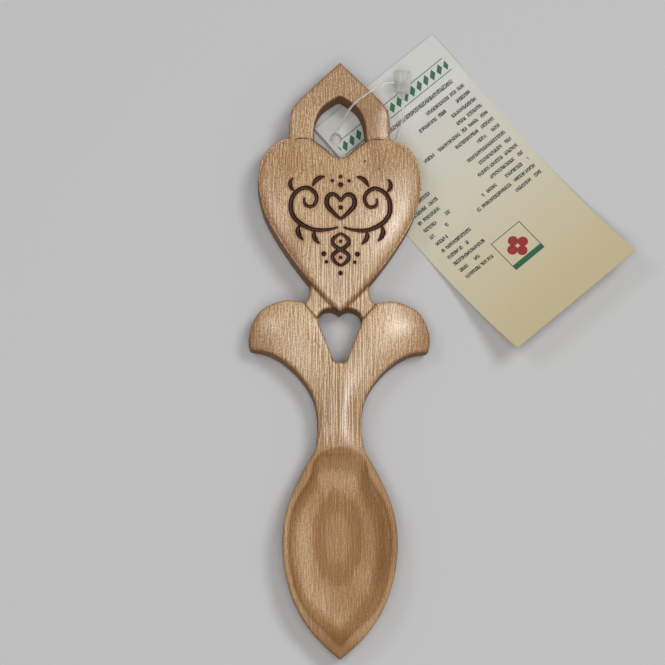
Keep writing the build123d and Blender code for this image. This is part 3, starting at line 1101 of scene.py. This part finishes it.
spoon = copyOfNode("carved_spoon", "spoon")
creaseTree = treeOf(innerEdges(spoon.data))
voxel = spoonLook["voxel"]
addModifier(spoon, "REMESH", mode="VOXEL", voxel_size=voxel * mm)
addModifier(spoon, "SMOOTH", factor=spoonLook["smoothFactor"], iterations=spoonLook["smoothing"])
applyModifiers(spoon)

# The heart's front is sanded away softly towards its edge
points, normals = meshArrays(spoon.data)
x, y, z = points.T
upward = normals[:, 2]
loopHalfWidth, loopStart = spoonLook["loopPart"]
gentle, steep = spoonLook["edgeSlopes"]
onLoop = (np.abs(x) < loopHalfWidth * mm) & (y > loopStart * mm)
onEdge = (y > spoonLook["edgeStart"] * mm) & (z > spoonLook["edgeHeight"] * mm) & ~onLoop
edgeTree = treeOf(points[onEdge & (upward > gentle) & (upward < steep)] * (1, 1, 0))
rolled = (y > spoonLook["rollStart"] * mm) & (z > spoonLook["rollHeight"] * mm)
rolled &= upward > spoonLook["rollSlope"]
fadeStart, fadeLength = spoonLook["rollFade"]
for index in np.flatnonzero(rolled):
    away = edgeTree.find((x[index], y[index], 0))[2]
    share = max(0.0, 1 - away / (spoonLook["rollWidth"] * mm))
    fade = min(1, max(0, (y[index] / mm - fadeStart) / fadeLength))
    points[index, 2] -= spoonLook["rollDepth"] * mm * share * share * fade
spoon.data.vertices.foreach_set("co", points.ravel())
spoon.data.update()
spoon.data.materials.append(wood)
spoon.data.materials.append(burnt)

# Burnt ornament on the heart. Each stroke is a row of (x, y, thickness share), given for the
# right half and mirrored
ornament = {
    "scroll": (
        (0.9, 106.6, 0.5), (5.2, 105.2, 0.9), (11.4, 106.2, 1.1), (16.8, 110.8, 1.2), (16.4, 118.0, 1.15),
        (11.2, 121.2, 1.05), (7.3, 117.3, 1.0), (9.2, 113.2, 0.9), (12.6, 114.4, 0.8), (12.0, 116.8, 0.6),
    ),
    "leafOne": ((13.6, 107.6, 0.3), (15.2, 104.6, 2.3), (12.4, 102.2, 0.25)),
    "leafTwo": ((8.6, 105.6, 0.3), (9.6, 102.8, 2.1), (6.9, 101.0, 0.25)),
    "leafThree": ((15.6, 119.2, 0.3), (17.9, 121.6, 2.0), (15.8, 123.8, 0.25)),
    "sprig": ((9.4, 120.7, 0.3), (8.2, 124.2, 2.1), (5.2, 124.2, 0.25)),
    "heart": (
        (0.0, 109.4, 0.7), (2.4, 111.4, 1.1), (5.1, 114.6, 1.25), (4.0, 118.2, 1.15), (1.0, 117.9, 0.95),
        (0.0, 115.4, 0.6),
    ),
    "plait": (
        (0.0, 104.6, 0.6), (2.7, 103.0, 1.0), (2.7, 100.6, 1.0), (0.0, 99.1, 0.9), (-2.7, 97.6, 1.0),
        (-2.7, 95.2, 1.0), (0.0, 93.6, 0.6),
    ),
}
# x, y and radius of each dot, given for the right half
dots = (
    (0.0, 121.4, 0.9), (0.0, 124.2, 0.65), (2.8, 122.8, 0.6), (0.0, 113.4, 0.8), (5.6, 97.6, 0.85),
    (4.7, 94.9, 0.6), (0.0, 91.2, 0.8), (0.0, 101.8, 0.6), (0.0, 96.4, 0.6),
)


def domeHeight(x, y):
    middle = spoonLook["domeMiddle"]
    return middle[2] + math.sqrt(spoonLook["domeRadius"] ** 2 - (x - middle[0]) ** 2 - (y - middle[1]) ** 2)


cutter, cutData = newCurve("ornament", "3D")
setTube(cutData, spoonLook["strokeRadius"] * mm, spoonLook["strokeSides"], spoonLook["strokeSteps"])
for stroke in ornament.values():
    for side in (1, -1):
        spots = [(side * x, y, domeHeight(x, y) - spoonLook["strokeSink"]) for x, y, share in stroke]
        for point, (x, y, share) in zip(addLine(cutData, spots).points, stroke):
            point.radius = share
cutter = toMesh(cutter)
parts = [cutter]
for x, y, radius in dots:
    for side in ((1, -1) if x else (1,)):
        deselectAll()
        spot = inMetres((side * x, y, domeHeight(x, y)))
        bpy.ops.mesh.primitive_uv_sphere_add(
            segments=spoonLook["dotSegments"],
            ring_count=spoonLook["dotRings"],
            radius=radius * mm,
            location=spot,
        )
        parts.append(bpy.context.object)
deselectAll()
for part in parts:
    part.select_set(True)
bpy.context.view_layer.objects.active = cutter
bpy.ops.object.join()
cutter.data.materials.clear()
cutter.data.materials.append(burnt)
addModifier(cutter, "REMESH", mode="VOXEL", voxel_size=spoonLook["cutterVoxel"] * mm)
applyModifiers(cutter)
combine(spoon, cutter, "DIFFERENCE", material_mode="TRANSFER")

# For each point: how much painted shade it takes as a slope or a wall, its distance from the nearest crease
# in reaches of that crease, which sets the painted crease shade, and how near it is to the burnt lines
mesh = spoon.data
count = len(mesh.vertices)
points, normals = meshArrays(mesh)
x, y, z = points.T
upward = normals[:, 2]
ends = np.empty(len(mesh.edges) * 2, int)
mesh.edges.foreach_get("vertices", ends)
ends = ends.reshape(-1, 2)
neighbours = np.bincount(ends.ravel(), minlength=count).clip(1)


def tintAt(share, level, span):
    return np.clip((level - share) / span, 0, 1)


# Each round takes the mean of a point and of its neighbours
def softened(values, rounds):
    for again in range(rounds):
        total = np.bincount(ends[:, 0], values[ends[:, 1]], count)
        total += np.bincount(ends[:, 1], values[ends[:, 0]], count)
        values = 0.5 * values + 0.5 * total / neighbours
    return values


# Distance to the nearest crease, which sets the painted shade along it; the band is wider on the left, where
# the shade falls
crease = np.full(count, spoonLook["creaseLimit"])
for index in np.flatnonzero((y > spoonLook["creaseStart"] * mm) & (z > spoonLook["creaseHeight"] * mm)):
    away = creaseTree.find(points[index])[2]
    inShade = x[index] < 0 and y[index] < spoonLook["shadedCreaseEnd"] * mm
    reach = spoonLook["shadedCreaseReach" if inShade else "creaseReach"]
    crease[index] = min(spoonLook["creaseLimit"], away / mm / reach)
# Painted shade on walls and on slopes, with less of it in the bowl
shadedWall = tintAt(np.abs(upward), *spoonLook["wallTilt"])
shadedSlope = tintAt(upward, *spoonLook["slopeTilt"])
inTheBowl = y < spoonLook["bowlEnd"] * mm
shadedSlope[inTheBowl] *= spoonLook["bowlSlope"]
shadedWall[inTheBowl & (upward > 0)] = 0
# In the loop's opening the inner walls take more painted shade, starting at a smaller tilt
openingHalfWidth, openingStart, openingEnd = spoonLook["opening"]
inOpening = (np.abs(x) < openingHalfWidth * mm) & (y > openingStart * mm) & (y < openingEnd * mm)
shadedWall[inOpening] = tintAt(np.abs(upward[inOpening]), *spoonLook["openingTilt"])
shadedSlope = softened(shadedSlope, spoonLook["slopeRounds"])
shadedWall = softened(shadedWall, spoonLook["wallRounds"])
burntIndex = mesh.materials.find(burnt.name)
burntFaces = [face for face in mesh.polygons if face.material_index == burntIndex]
burntPoints = sorted({index for face in burntFaces for index in face.vertices})
burntSpots = treeOf(points[burntPoints])
scorchStart, scorchHeight = spoonLook["scorchPart"]
scorch = np.zeros(count)
for index in np.flatnonzero((y > scorchStart * mm) & (z > scorchHeight * mm)):
    scorch[index] = max(0.0, 1 - burntSpots.find(points[index])[2] / (spoonLook["scorchReach"] * mm))
for key, values in (("shadedSlope", shadedSlope), ("shadedWall", shadedWall), ("crease", crease), ("scorch", scorch)):
    attribute = mesh.attributes.new(key, "FLOAT", "POINT")
    attribute.data.foreach_set("value", values.astype(np.float32))
activate(spoon)
bpy.ops.object.shade_smooth()
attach(spoon, "spoon")
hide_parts("carved_spoon")

print("sizes")
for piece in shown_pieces():
    if piece.type == "MESH":
        piece.data.calc_loop_triangles()
        print(piece.name, len(piece.data.loop_triangles), "triangles")
